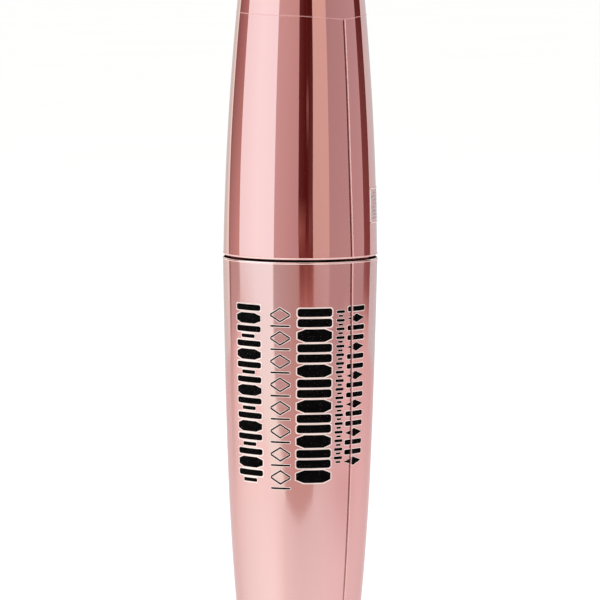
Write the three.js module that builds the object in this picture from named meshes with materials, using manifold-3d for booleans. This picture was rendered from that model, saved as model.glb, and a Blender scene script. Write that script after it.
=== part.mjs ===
// Mascara tube: a spindle-shaped bottle and screw cap with a wand, brush, wiper and clear film.
// Millimetres, +Z up the axis, origin in the middle of the base, front of the tube towards -Y.
import * as THREE from 'three';
import Module from 'manifold-3d';

// Overall shape
const LENGTH = 120;
const BOTTLE_TOP = 68.1;
const CAP_BOTTOM = 68.35;
const BASE_CORNER = 0.9;
const CAP_CORNER = 1.0;
const RIM_ROUND = 0.15;
const SHELL_WALL = 0.95;
const SIDES = 40;
const ROW_HEIGHT = 6;

// Bottle outside: height above the base and radius
const BOTTLE_STATIONS = [
  [0, 5.0], [6, 5.7], [12, 6.39], [20, 7.26], [27.5, 7.95], [33.4, 8.38], [39.3, 8.71],
  [45.1, 8.94], [51, 9.13], [57, 9.29], [62.8, 9.42], [68, 9.53],
];
// Cap outside: radius at the joint, slope there and how fast the slope grows with height
const CAP_RADIUS = 9.48;
const CAP_SLOPE = 0.0125;
const CAP_CURVE = 0.00131;

// Clear film sleeves over the shells
const FILM_SET_IN = 0.06;
const FILM_GAP = 0.04;
const FILM_THICK = 0.06;
const FILM_LAP = 0.06;
const FILM_SEAM_DEGREES = 313;
const BOTTLE_FILM = [14, 67.9];
const CAP_FILM = [68.55, 97.6];
const CAP_FILM_SKEW = 0.057;

// Space left between pieces that touch
const FIT = 0.3;

// Inner bottle
const INNER_WALL = 0.75;
const INNER_FLOOR = 1.9;
const BASE_FLOOR = 1.6;
const SHOULDER_TOP = 67.2;
const SHOULDER_EDGE = 65.8;
const NECK_TOP = 80.8;
const NECK_RADIUS = 5.6;
const NECK_BORE = 4.35;
const NECK_FILLET = 0.5;
const SHOULDER_UNDER = 65.9;
const RESERVOIR_TOP = 62.6;

// Screw thread, right-handed
const THREAD_PITCH = 2.5;
const THREAD_SIDES = 24;
const THREAD_ROOT_WIDTH = 1.1;
const THREAD_CREST_WIDTH = 0.6;
const NECK_CREST = 6.25;
const NECK_THREAD = { start: 72, turns: 1.25 };
const CAP_BORE = 6.6;
const CAP_CREST = 5.85;
const CAP_THREAD = { start: 72.27 + THREAD_PITCH / 2, turns: 1 };
const THREAD_BITE = 0.3;

// Wiper in the neck
const WIPER = { flange: 5.4, flangeTop: 81.7, outer: 4.05, inner: 3.3, wall: 0.5 };
const WIPER_LIP = { top: 75, end: 70.9, hole: 2.2 };

// Washer, inner cap and its socket for the rod
const WASHER = { inner: 2.4, outer: 6.2, bottom: 82.0, top: 82.8 };
const PLATE_UNDER = 83.1;
const PLATE_TOP = 84.9;
const INNER_CAP_BOTTOM = 69.2;
const SOCKET = { bore: 2.2, ceiling: 91.3, outer: 3.3, top: 92.6 };

// Rod, wire and brush
const ROD = { radius: 1.9, tip: 1.6, bottom: 37, taperTop: 39, top: 91, hole: 1.05, holeTop: 45 };
const WIRE = { radius: 0.34, offset: 0.4, bottom: 10.2, top: 44.2, pitch: 3.2, sides: 6, steps: 10 };
const BRUSH_STATIONS = [
  [10.5, 1.9], [12, 2.7], [14, 3.1], [18, 3.45], [24, 3.6], [30, 3.4], [34, 2.6], [35.2, 1.9],
];
const BRUSH = { core: 0.95, thick: 0.7, pitch: 1.5, steps: 16 };

// Mascara paste with the channel that the brush leaves
const PASTE_GAP = 0.15;
const PASTE_BOTTOM = 3.1;
const PASTE_TOP = 50;
const PASTE_CHANNEL = [[4.1, PASTE_TOP], [4.1, 20], [3.65, 13], [2.5, 9.6], [0, 9.5]];

// Radius at a height on a smooth curve through a list of [height, radius] stations.
function stationRadius(stations, z) {
  const last = stations.length - 2;
  const found = stations.findIndex((station, i) => i <= last && z <= stations[i + 1][0]);
  const k = found < 0 ? last : found;
  const slope = (i) => {
    const low = stations[Math.max(i - 1, 0)];
    const high = stations[Math.min(i + 1, last + 1)];
    return (high[1] - low[1]) / (high[0] - low[0]);
  };
  const [z0, r0] = stations[k];
  const [z1, r1] = stations[k + 1];
  const step = z1 - z0;
  const t = (z - z0) / step;
  const rise = (r1 - r0) / step;
  const bend = (slope(k) - rise) * (1 - t) - (slope(k + 1) - rise) * t;
  return r0 + (r1 - r0) * t + step * t * (1 - t) * bend;
}

const bottleRadius = (z) => stationRadius(BOTTLE_STATIONS, z) - FILM_SET_IN;
const brushRadius = (z) => stationRadius(BRUSH_STATIONS, z);

function capRadius(z) {
  const h = z - CAP_BOTTOM;
  return CAP_RADIUS - FILM_SET_IN - CAP_SLOPE * h - CAP_CURVE * h * h;
}

// Points up (or down) a wall that follows a radius rule moved in by an offset.
function wall(radiusAt, offset, from, to) {
  const rows = Math.max(1, Math.ceil(Math.abs(to - from) / ROW_HEIGHT));
  const points = [];
  for (let i = 0; i <= rows; i += 1) {
    const z = from + ((to - from) * i) / rows;
    points.push([radiusAt(z) - offset, z]);
  }
  return points;
}

// Points on a quarter round between two directions, in degrees.
function round(r, z, radius, from, to, steps = 3) {
  const points = [];
  for (let i = 0; i <= steps; i += 1) {
    const a = THREE.MathUtils.degToRad(from + ((to - from) * i) / steps);
    points.push([r + radius * Math.cos(a), z + radius * Math.sin(a)]);
  }
  return points;
}

function bodyFrom(positions, triangles) {
  const geometry = new THREE.BufferGeometry();
  geometry.setAttribute('position', new THREE.Float32BufferAttribute(positions.flat(), 3));
  let volume = 0;
  for (const [a, b, c] of triangles) {
    const [p, q, r] = [a, b, c].map((i) => new THREE.Vector3(...positions[i]));
    volume += p.dot(q.cross(r));
  }
  const facing = volume < 0 ? triangles.map(([a, b, c]) => [a, c, b]) : triangles;
  geometry.setIndex(facing.flat());
  return geometry;
}

// Body of revolution. A profile that starts on the axis ends on it; any other closes on itself.
function turned(profile) {
  const positions = [];
  const rings = profile.map(([r, z]) => {
    const first = positions.length;
    const count = r === 0 ? 1 : SIDES;
    for (let k = 0; k < count; k += 1) {
      const a = (2 * Math.PI * k) / SIDES;
      positions.push([r * Math.cos(a), r * Math.sin(a), z]);
    }
    return (k) => first + (count === 1 ? 0 : k % SIDES);
  });
  const triangles = [];
  const onAxis = profile[0][0] === 0;
  const bands = onAxis ? profile.length - 1 : profile.length;
  for (let i = 0; i < bands; i += 1) {
    const low = rings[i];
    const high = rings[(i + 1) % rings.length];
    for (let k = 0; k < SIDES; k += 1) {
      const quad = [low(k), low(k + 1), high(k + 1), high(k)];
      if (quad[0] !== quad[1]) triangles.push([quad[0], quad[1], quad[2]]);
      if (quad[2] !== quad[3]) triangles.push([quad[0], quad[2], quad[3]]);
    }
  }
  return bodyFrom(positions, triangles);
}

// Solid through a row of convex rings with the same number of points, closed at both ends.
function skinned(rings) {
  const count = rings[0].length;
  const positions = rings.flat();
  const triangles = [];
  for (let i = 0; i + 1 < rings.length; i += 1) {
    for (let k = 0; k < count; k += 1) {
      const a = i * count + k;
      const b = i * count + ((k + 1) % count);
      triangles.push([a, b, b + count], [a, b + count, a + count]);
    }
  }
  const last = (rings.length - 1) * count;
  for (let k = 1; k + 1 < count; k += 1) {
    triangles.push([0, k + 1, k], [last, last + k, last + k + 1]);
  }
  return bodyFrom(positions, triangles);
}

function polar(r, angle, z) {
  return [r * Math.cos(angle), r * Math.sin(angle), z];
}

// One helical thread ridge, lower at both ends. It bites into the wall that carries it.
function threadRidge(root, crest, { start, turns }) {
  const steps = Math.round(turns * THREAD_SIDES);
  const rings = [];
  for (let i = 0; i <= steps; i += 1) {
    const angle = (2 * Math.PI * i) / THREAD_SIDES;
    const z = start + (THREAD_PITCH * i) / THREAD_SIDES;
    const fade = Math.min(1, (1 + i) / 3, (1 + steps - i) / 3);
    const top = root + (crest - root) * fade;
    const half = [THREAD_ROOT_WIDTH / 2, THREAD_CREST_WIDTH / 2];
    rings.push([
      polar(root, angle, z - half[0]),
      polar(top, angle, z - half[1]),
      polar(top, angle, z + half[1]),
      polar(root, angle, z + half[0]),
    ]);
  }
  return skinned(rings);
}

// Film sleeve around a shell, with a lapped seam down one side and a top edge cut askew.
function sleeve(radiusAt, low, high, skew) {
  const rows = Math.ceil((high - low) / ROW_HEIGHT);
  const seam = Math.round((FILM_SEAM_DEGREES * SIDES) / 360);
  const positions = [];
  for (let i = 0; i <= rows; i += 1) {
    for (let k = 0; k < SIDES; k += 1) {
      const a = (2 * Math.PI * k) / SIDES;
      const top = high - skew * radiusAt(high) * Math.cos(a);
      const z = low + ((top - low) * i) / rows;
      const inner = radiusAt(z) + FILM_GAP;
      const lap = k === seam ? FILM_LAP : 0;
      positions.push(polar(inner, a, z), polar(inner + FILM_THICK + lap, a, z));
    }
  }
  const inside = (i, k) => 2 * (i * SIDES + (k % SIDES));
  const outside = (i, k) => inside(i, k) + 1;
  const triangles = [];
  const quad = (a, b, c, d) => triangles.push([a, b, c], [a, c, d]);
  for (let k = 0; k < SIDES; k += 1) {
    for (let i = 0; i < rows; i += 1) {
      quad(outside(i, k), outside(i, k + 1), outside(i + 1, k + 1), outside(i + 1, k));
      quad(inside(i + 1, k), inside(i + 1, k + 1), inside(i, k + 1), inside(i, k));
    }
    quad(inside(0, k), inside(0, k + 1), outside(0, k + 1), outside(0, k));
    quad(outside(rows, k), outside(rows, k + 1), inside(rows, k + 1), inside(rows, k));
  }
  return bodyFrom(positions, triangles);
}

const wasm = await Module();
wasm.setup();

function solid(geometry) {
  return new wasm.Manifold(new wasm.Mesh({
    numProp: 3,
    vertProperties: new Float32Array(geometry.attributes.position.array),
    triVerts: new Uint32Array(geometry.index.array),
  }));
}

function joined(a, b) {
  const mesh = solid(a).add(solid(b)).getMesh();
  const geometry = new THREE.BufferGeometry();
  geometry.setAttribute('position', new THREE.Float32BufferAttribute(mesh.vertProperties, 3));
  geometry.setIndex(Array.from(mesh.triVerts));
  return geometry;
}

const FINISH = {
  mirror: { color: 0xe0a59c, roughness: 0.06, metalness: 1 },
  satin: { color: 0xe3aea8, roughness: 0.35, metalness: 0.9 },
  film: { color: 0xf6f1f1, roughness: 0.08, metalness: 0, transparent: true, opacity: 0.25 },
  black: { color: 0x17161a, roughness: 0.35, metalness: 0 },
  paste: { color: 0x0b0a0c, roughness: 0.25, metalness: 0 },
  clearBottle: { color: 0x2a282b, roughness: 0.3, metalness: 0 },
  washer: { color: 0xe9e6e2, roughness: 0.7, metalness: 0 },
  steel: { color: 0xb9babd, roughness: 0.3, metalness: 1 },
  fibre: { color: 0x0e0d10, roughness: 0.5, metalness: 0 },
};

const tube = new THREE.Group();
tube.name = 'mascara_tube';

function addPiece(name, geometry, finish) {
  geometry.computeVertexNormals();
  const piece = new THREE.Mesh(geometry, new THREE.MeshStandardMaterial(FINISH[finish]));
  piece.name = name;
  tube.add(piece);
}

// Bottle
const baseEdge = bottleRadius(BASE_CORNER) - BASE_CORNER;
const rimOuter = bottleRadius(BOTTLE_TOP - RIM_ROUND) - RIM_ROUND;
addPiece('bottle_shell', turned([
  [0, 0],
  ...round(baseEdge, BASE_CORNER, BASE_CORNER, -90, 0),
  ...wall(bottleRadius, 0, 3 * BASE_CORNER, BOTTLE_TOP - 3 * RIM_ROUND),
  ...round(rimOuter, BOTTLE_TOP - RIM_ROUND, RIM_ROUND, 0, 90),
  ...wall(bottleRadius, SHELL_WALL, BOTTLE_TOP, BASE_FLOOR),
  [0, BASE_FLOOR],
]), 'satin');

const innerOutside = SHELL_WALL + FIT;
const innerInside = innerOutside + INNER_WALL;
const innerBottle = turned([
  [0, INNER_FLOOR],
  ...wall(bottleRadius, innerOutside, INNER_FLOOR, SHOULDER_EDGE),
  [bottleRadius(SHOULDER_TOP) - innerOutside, SHOULDER_TOP],
  ...round(NECK_RADIUS + NECK_FILLET, SHOULDER_TOP + NECK_FILLET, NECK_FILLET, 270, 180),
  [NECK_RADIUS, NECK_TOP - FIT],
  [NECK_RADIUS - FIT, NECK_TOP],
  [NECK_BORE, NECK_TOP],
  [NECK_BORE, SHOULDER_UNDER],
  ...wall(bottleRadius, innerInside, RESERVOIR_TOP, INNER_FLOOR + INNER_WALL),
  [0, INNER_FLOOR + INNER_WALL],
]);
const neckThread = threadRidge(NECK_RADIUS - THREAD_BITE, NECK_CREST, NECK_THREAD);
addPiece('inner_bottle', joined(innerBottle, neckThread), 'clearBottle');

addPiece('wiper', turned([
  [WIPER_LIP.hole, WIPER_LIP.end],
  [WIPER_LIP.hole + WIPER.wall, WIPER_LIP.end],
  [WIPER.outer, WIPER_LIP.top - WIPER.wall],
  [WIPER.outer, NECK_TOP + FIT],
  [WIPER.flange, NECK_TOP + FIT],
  [WIPER.flange, WIPER.flangeTop],
  [WIPER.inner, WIPER.flangeTop],
  [WIPER.inner, WIPER_LIP.top],
  [WIPER_LIP.hole, WIPER_LIP.end + WIPER.wall],
]), 'black');

addPiece('mascara_paste', turned([
  [0, PASTE_BOTTOM],
  ...wall(bottleRadius, innerInside + PASTE_GAP, PASTE_BOTTOM, PASTE_TOP),
  ...PASTE_CHANNEL,
]), 'paste');

addPiece('bottle_film', sleeve(bottleRadius, ...BOTTLE_FILM, 0), 'film');

// Cap
const topEdge = capRadius(LENGTH - CAP_CORNER) - CAP_CORNER;
const capRim = capRadius(CAP_BOTTOM + RIM_ROUND) - RIM_ROUND;
const capCeiling = LENGTH - BASE_FLOOR;
addPiece('cap_shell', turned([
  [0, capCeiling],
  ...wall(capRadius, SHELL_WALL, capCeiling, CAP_BOTTOM),
  ...round(capRim, CAP_BOTTOM + RIM_ROUND, RIM_ROUND, 270, 360),
  ...wall(capRadius, 0, CAP_BOTTOM + 3 * RIM_ROUND, LENGTH - 2 * CAP_CORNER),
  ...round(topEdge, LENGTH - CAP_CORNER, CAP_CORNER, 0, 90),
  [0, LENGTH],
]), 'mirror');

const innerCap = turned([
  [0, SOCKET.ceiling],
  [SOCKET.bore, SOCKET.ceiling],
  [SOCKET.bore, PLATE_UNDER],
  [CAP_BORE, PLATE_UNDER],
  [CAP_BORE, INNER_CAP_BOTTOM],
  ...wall(capRadius, innerOutside, INNER_CAP_BOTTOM, PLATE_TOP),
  [SOCKET.outer, PLATE_TOP],
  [SOCKET.outer, SOCKET.top],
  [0, SOCKET.top],
]);
const capThread = threadRidge(CAP_BORE + THREAD_BITE, CAP_CREST, CAP_THREAD);
addPiece('inner_cap', joined(innerCap, capThread), 'black');

addPiece('seal_washer', turned([
  [WASHER.inner, WASHER.bottom],
  [WASHER.outer, WASHER.bottom],
  [WASHER.outer, WASHER.top],
  [WASHER.inner, WASHER.top],
]), 'washer');

addPiece('rod', turned([
  [0, ROD.holeTop],
  [ROD.hole, ROD.holeTop],
  [ROD.hole, ROD.bottom],
  [ROD.tip, ROD.bottom],
  [ROD.radius, ROD.taperTop],
  [ROD.radius, ROD.top - FIT],
  [ROD.radius - FIT, ROD.top],
  [0, ROD.top],
]), 'black');

// Brush wire: one wire folded in a hairpin and twisted, the fold held in the rod.
function wirePath() {
  const points = [];
  const turns = (WIRE.top - WIRE.bottom) / WIRE.pitch;
  const steps = Math.round(turns * WIRE.steps);
  const strand = (i, side) => {
    const a = (2 * Math.PI * i) / WIRE.steps + side;
    const z = WIRE.bottom + ((WIRE.top - WIRE.bottom) * i) / steps;
    return new THREE.Vector3(...polar(WIRE.offset, a, z));
  };
  for (let i = 0; i <= steps; i += 1) points.push(strand(i, 0));
  const from = strand(steps, 0);
  const to = strand(steps, Math.PI);
  for (let i = 1; i < 4; i += 1) {
    const a = (Math.PI * i) / 4;
    const along = new THREE.Vector3().lerpVectors(from, to, (1 - Math.cos(a)) / 2);
    along.z += WIRE.offset * Math.sin(a);
    points.push(along);
  }
  for (let i = steps; i >= 0; i -= 1) points.push(strand(i, Math.PI));
  return points;
}

function swept(path, radius, sides) {
  let normal = null;
  const rings = path.map((point, i) => {
    const ahead = path[Math.min(i + 1, path.length - 1)];
    const behind = path[Math.max(i - 1, 0)];
    const tangent = new THREE.Vector3().subVectors(ahead, behind).normalize();
    normal = normal ?? new THREE.Vector3(1, 0, 0);
    normal.addScaledVector(tangent, -normal.dot(tangent)).normalize();
    const across = new THREE.Vector3().crossVectors(tangent, normal);
    return Array.from({ length: sides }, (_, k) => {
      const a = (2 * Math.PI * k) / sides;
      const spot = point.clone().addScaledVector(normal, radius * Math.cos(a));
      return spot.addScaledVector(across, radius * Math.sin(a)).toArray();
    });
  });
  return skinned(rings);
}

addPiece('brush_wire', swept(wirePath(), WIRE.radius, WIRE.sides), 'steel');

// Bristles: the helical ramp of fibres that the twisted wire holds.
function bristleRamp() {
  const low = BRUSH_STATIONS[0][0];
  const high = BRUSH_STATIONS[BRUSH_STATIONS.length - 1][0];
  const steps = Math.round(((high - low) / BRUSH.pitch) * BRUSH.steps);
  const rings = [];
  for (let i = 0; i <= steps; i += 1) {
    const a = (2 * Math.PI * i) / BRUSH.steps;
    const z = low + ((high - low) * i) / steps;
    const r = brushRadius(z);
    const half = BRUSH.thick / 2;
    rings.push([
      polar(BRUSH.core, a, z - half),
      polar(r, a, z - half),
      polar(r, a, z + half),
      polar(BRUSH.core, a, z + half),
    ]);
  }
  return skinned(rings);
}

addPiece('bristles', bristleRamp(), 'fibre');

addPiece('cap_film', sleeve(capRadius, ...CAP_FILM, CAP_FILM_SKEW), 'film');

export default tube;
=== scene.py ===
import math
import random

import bmesh
import bpy
from mathutils import Matrix, Vector


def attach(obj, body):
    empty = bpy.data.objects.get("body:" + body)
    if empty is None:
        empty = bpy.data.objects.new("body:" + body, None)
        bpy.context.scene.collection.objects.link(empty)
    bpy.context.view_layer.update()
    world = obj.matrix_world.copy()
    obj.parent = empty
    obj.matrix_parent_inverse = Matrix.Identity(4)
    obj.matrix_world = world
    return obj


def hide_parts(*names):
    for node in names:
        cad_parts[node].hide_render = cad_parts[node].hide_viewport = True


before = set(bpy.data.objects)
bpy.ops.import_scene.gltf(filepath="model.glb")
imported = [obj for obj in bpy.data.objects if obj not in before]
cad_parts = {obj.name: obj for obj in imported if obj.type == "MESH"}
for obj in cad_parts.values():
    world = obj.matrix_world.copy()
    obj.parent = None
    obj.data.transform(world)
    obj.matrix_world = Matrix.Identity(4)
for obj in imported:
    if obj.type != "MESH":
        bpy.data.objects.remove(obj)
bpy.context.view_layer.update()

# A mascara tube: a plated bottle and a screw cap with its wand and brush, in clear film, on a pale floor and
# among cards that only reflections see. Millimetres, +Z up the axis, the front of the tube towards -Y.

MM = 0.001
TAU = 2 * math.pi

# Overall shape, in millimetres
LENGTH = 120.0
BOTTLE_TOP = 68.1
CAP_BOTTOM = 68.35
CAP_RADIUS = 9.48
CAP_SLOPE = 0.0125
CAP_CURVE = 0.00131
SHELL_WALL = 0.95
RIM_ROUND = 0.15
BASE_CORNER = 0.9
CAP_CORNER = 1.0
BASE_FLOOR = 1.6
BOTTLE_STATIONS = [
    (0, 5.0),
    (6, 5.7),
    (12, 6.39),
    (20, 7.26),
    (27.5, 7.95),
    (33.4, 8.38),
    (39.3, 8.71),
    (45.1, 8.94),
    (51, 9.13),
    (57, 9.29),
    (62.8, 9.42),
    (68, 9.53),
]
BRUSH_STATIONS = [
    (10.5, 1.9),
    (12, 2.7),
    (14, 3.1),
    (18, 3.45),
    (24, 3.6),
    (30, 3.4),
    (34, 2.6),
    (35.2, 1.9),
]
FILM_SET_IN = 0.06
FIT = 0.3
INNER_WALL = 0.75
SHOULDER_TOP = 67.2
NECK_RADIUS = 5.6
NECK_BORE = 4.35
NECK_TOP = 80.8
NECK_CREST = 6.25
RESERVOIR_TOP = 62.6
PITCH = 2.5
BOTTLE_THREAD_START = 72.0
BOTTLE_THREAD_TURNS = 1.25
CAP_THREAD_START = 73.52
CAP_THREAD_TURNS = 1.0
CAP_CREST = 5.85
THREAD_BITE = 0.3
WIPER_HOLE = 2.2
WIPER_TIP = 70.9
WIPER_FUNNEL = 75.0
WIPER_INNER = 3.3
WIPER_TOP = 81.7
INSERT_BORE = 6.6
INSERT_LOW = 69.2
INSERT_CEILING = 83.1
INSERT_SHOULDER = 84.9
SOCKET_TOP = 91.3
SOCKET_RADIUS = 3.3
WASHER_HOLE = 2.4
WASHER_RADIUS = 6.2
WASHER_LOW = 82.0
WASHER_HIGH = 82.8
PASTE_BASE = 3.1
PASTE_TOP = 50.0
PASTE_GAP = 0.15
PASTE_CHANNEL = [(4.1, 20), (3.65, 13), (2.5, 9.6), (0, 9.5)]
ROD_RADIUS = 1.9
ROD_TIP = 37.0
ROD_TAPER = 2.0
ROD_TOP = 91.0
ROD_HOLE_TOP = 45.0
WIRE_HOLE = 1.05
WIRE_LOW = 10.2
WIRE_HIGH = 44.2
WIRE_PITCH = 3.2
WIRE_OFFSET = 0.4
WIRE_RADIUS = 0.34
FIBRE_PAIRS = 1700
FIBRE_SPREAD = 34
SIDES = 192

# Directions round the tube are degrees from the front, towards the camera's right.


def station_radius(stations, z):
    """Radius at a height on a smooth curve through (height, radius) stations."""
    last = len(stations) - 2
    k = next((i for i in range(last + 1) if z <= stations[i + 1][0]), last)

    def slope(i):
        low, high = stations[max(i - 1, 0)], stations[min(i + 1, last + 1)]
        return (high[1] - low[1]) / (high[0] - low[0])

    (z0, r0), (z1, r1) = stations[k], stations[k + 1]
    step = z1 - z0
    t = (z - z0) / step
    rise = (r1 - r0) / step
    bend = (slope(k) - rise) * (1 - t) - (slope(k + 1) - rise) * t
    return r0 + (r1 - r0) * t + step * t * (1 - t) * bend


def bottle_radius(z):
    return station_radius(BOTTLE_STATIONS, z) - FILM_SET_IN


def cap_radius(z):
    h = z - CAP_BOTTOM
    return CAP_RADIUS - FILM_SET_IN - CAP_SLOPE * h - CAP_CURVE * h * h


def brush_radius(z):
    return station_radius(BRUSH_STATIONS, z)


def wall(radius_at, offset, start, end, step=1.0):
    rows = max(1, math.ceil(abs(end - start) / step))
    heights = [start + (end - start) * i / rows for i in range(rows + 1)]
    return [(radius_at(z) - offset, z) for z in heights]


def arc(r, z, radius, start, end, steps=8):
    turns = [math.radians(start + (end - start) * i / steps) for i in range(steps + 1)]
    return [(r + radius * math.cos(a), z + radius * math.sin(a)) for a in turns]


def spot(radius, degrees, z):
    """A point at a radius, a direction from the front and a height."""
    a = math.radians(degrees)
    return (radius * math.sin(a), -radius * math.cos(a), z)


def along(stops, place):
    """The value at a place on a line of (place, value or colour) stops."""
    if place <= stops[0][0]:
        return stops[0][1]
    for (p, low), (q, high) in zip(stops, stops[1:]):
        if place <= q:
            t = (place - p) / (q - p)
            if isinstance(low, tuple):
                return tuple(a + (b - a) * t for a, b in zip(low, high))
            return low + (high - low) * t
    return stops[-1][1]


def grey(value):
    return (value, value, value)


# ---------------------------------------------------------------- materials


class Shader:
    """A material with a Principled surface and short ways to add its nodes."""

    def __init__(self, name, **inputs):
        self.material = bpy.data.materials.new(name)
        self.material.use_nodes = True
        self.tree = self.material.node_tree
        self.bsdf = self.tree.nodes["Principled BSDF"]
        for key, value in inputs.items():
            self.bsdf.inputs[key.replace("_", " ")].default_value = value
        self.coords = self.tree.nodes.new("ShaderNodeTexCoord").outputs["Object"]

    def node(self, kind, **settings):
        made = self.tree.nodes.new("ShaderNode" + kind)
        for key, value in settings.items():
            if key in ("first", "second"):
                self.tree.links.new(value, made.inputs[("first", "second").index(key)])
                continue
            if isinstance(value, bpy.types.NodeSocket):
                self.tree.links.new(value, made.inputs[key.replace("_", " ")])
            elif key.replace("_", " ") in made.inputs:
                made.inputs[key.replace("_", " ")].default_value = value
            else:
                setattr(made, key, value)
        return made

    def noise(self, scale, detail=3.0, stretch=(1, 1, 1)):
        spaced = self.node("Mapping", Vector=self.coords, Scale=stretch).outputs[0]
        made = self.node("TexNoise", Vector=spaced, Scale=scale, Detail=detail)
        return made.outputs["Fac"]

    def between(self, fac, low, high, start=0.3, end=0.7):
        made = self.node("MapRange", Value=fac)
        for key, value in zip(("From Min", "From Max", "To Min", "To Max"), (start, end, low, high)):
            made.inputs[key].default_value = value
        return made.outputs[0]

    def height(self, low, high):
        """0 below a height in millimetres and 1 above another."""
        z = self.node("SeparateXYZ", Vector=self.coords).outputs["Z"]
        return self.between(z, 0.0, 1.0, low * MM, high * MM)

    def ramp(self, fac, *stops):
        made = self.node("ValToRGB", Fac=fac)
        stripe = made.color_ramp
        while len(stripe.elements) < len(stops):
            stripe.elements.new(0.5)
        for element, (place, colour) in zip(stripe.elements, stops):
            element.position = place
            element.color = (*colour, 1)
        return made.outputs["Color"]

    def colour(self, socket):
        self.tree.links.new(socket, self.bsdf.inputs["Base Color"])

    def roughness(self, socket):
        self.tree.links.new(socket, self.bsdf.inputs["Roughness"])

    def alpha(self, socket):
        self.tree.links.new(socket, self.bsdf.inputs["Alpha"])

    def bump(self, height, strength, distance):
        made = self.node("Bump", Height=height, Strength=strength, Distance=distance)
        self.tree.links.new(made.outputs[0], self.bsdf.inputs["Normal"])


def plated(name, colours, rough, wave):
    """Metallised plastic: tint drifting along the tube, faint handling marks and moulding waves."""
    s = Shader(name, Metallic=1.0, Coat_Weight=0.35, Coat_Roughness=0.03)
    s.colour(s.ramp(s.height(0, LENGTH), *colours))
    smear = s.noise(260, 4, (1, 1, 0.35))
    s.roughness(s.between(smear, rough[0], rough[1]))
    s.bump(s.noise(60, 1.5, (1, 1, 0.25)), wave, 0.00002)
    return s.material


def moulded(name, colour, rough, grain=900, strength=0.15, **inputs):
    s = Shader(name, **inputs)
    dark = tuple(c * 0.8 for c in colour)
    s.colour(s.ramp(s.noise(240, 2), (0.35, dark), (0.65, colour)))
    s.roughness(s.between(s.noise(500, 3), rough * 0.85, rough * 1.2))
    s.bump(s.noise(grain, 3), strength, 0.00002)
    return s.material


def clear(name, colour, alpha, rough=0.06, fade=None, shine=0.5):
    """A thin clear or tinted layer. With a fade it thins out from one height down to a lower one."""
    s = Shader(name, Specular_IOR_Level=shine)
    s.colour(s.ramp(s.noise(90, 2), (0.3, tuple(c * 0.94 for c in colour)), (0.7, colour)))
    s.roughness(s.between(s.noise(300, 2), rough * 0.7, rough * 1.4))
    cover = s.between(s.noise(140, 3, (1, 1, 0.2)), alpha[0], alpha[1])
    if fade:
        thin = s.between(s.height(*fade), 0.35, 1.0, 0.0, 1.0)
        cover = s.node("Math", operation="MULTIPLY", first=cover, second=thin).outputs[0]
    s.alpha(cover)
    s.bump(s.noise(220, 2, (1, 1, 0.3)), 0.1, 0.00002)
    return s.material


CAP_TINT = (0.88, 0.373, 0.335)
MIRROR = plated("mirror_plating", [(0.5, CAP_TINT), (1.0, CAP_TINT)], (0.02, 0.05), 0.2)
SATIN = plated(
    "satin_plating",
    [(0.0, (0.80, 0.53, 0.51)), (0.3, (0.80, 0.50, 0.48)), (0.55, (0.84, 0.42, 0.39))],
    (0.07, 0.11),
    0.2,
)
# Painted highlight: the shells' outer rim rounding takes this paler plating, so it shows as a pale line
# beside the joint.
RIM_HIGHLIGHT = plated("rim_painted_highlight", [(0.5, (0.99, 0.66, 0.61)), (1.0, (0.99, 0.68, 0.63))], (0.12, 0.2), 0.1)
FILM = clear("clear_film", (0.06, 0.045, 0.045), (0.001, 0.005), shine=0.05)
# Painted highlights: the film's rolled and cut edges take these pale, partly opaque pinks, standing in for
# light caught along each edge.
ROLLED_EDGE_HIGHLIGHT = clear("film_rolled_edge_highlight", (0.98, 0.72, 0.67), (0.55, 0.8))
CUT_EDGE_HIGHLIGHT = clear("film_cut_edge_highlight", (0.93, 0.57, 0.55), (0.2, 0.42))
# The weld's dark line is partly the weld itself and partly painted shade beside it, fading towards the
# bottom of the tube.
SEAM_SHADE = clear("film_seam_weld_shade", (0.24, 0.05, 0.05), (0.65, 0.85), fade=(22, 56))
# Painted highlight: a pale line along the lap beside the weld, also fading towards the bottom of the tube.
SEAM_HIGHLIGHT = clear("film_seam_lap_highlight", (0.96, 0.60, 0.59), (0.4, 0.6), fade=(22, 56))
INK = moulded("print_ink", (0.002, 0.0015, 0.0015), 0.7, 1500, 0.1, Specular_IOR_Level=0.03)
INK_RIM = moulded("print_rim", (0.86, 0.68, 0.64), 0.4, 1500, 0.1)
CODE_LABEL = clear("code_label", (0.74, 0.60, 0.62), (0.1, 0.18))
CODE_EDGE = clear("code_edge", (1.0, 0.84, 0.80), (0.7, 0.85))
CODE_INK = clear("code_ink", (0.40, 0.28, 0.29), (0.18, 0.3))
BLACK = moulded("black_plastic", (0.012, 0.012, 0.014), 0.28)
DARK = moulded("smoked_plastic", (0.030, 0.027, 0.030), 0.22)
SOFT = moulded("wiper_rubber", (0.020, 0.020, 0.022), 0.55, 1400, 0.3)
FOAM = moulded("washer_foam", (0.80, 0.78, 0.75), 0.8, 2600, 0.8)
# Painted shade: the end faces in the joint gap are near black with no shine, so the gap shows as a dark
# line.
GAP_SHADE = moulded("end_face_painted_shade", (0.05, 0.005, 0.004), 0.85, 1500, 0.1, Specular_IOR_Level=0.0)
PASTE = moulded("mascara_paste", (0.006, 0.005, 0.006), 0.18, 420, 0.6)
FIBRE = moulded("nylon_fibre", (0.008, 0.007, 0.008), 0.5, Specular_IOR_Level=0.3)
STEEL = moulded("twisted_wire", (0.52, 0.52, 0.53), 0.28, 1800, 0.3, Metallic=1.0)


# ---------------------------------------------------------------- meshes


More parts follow.
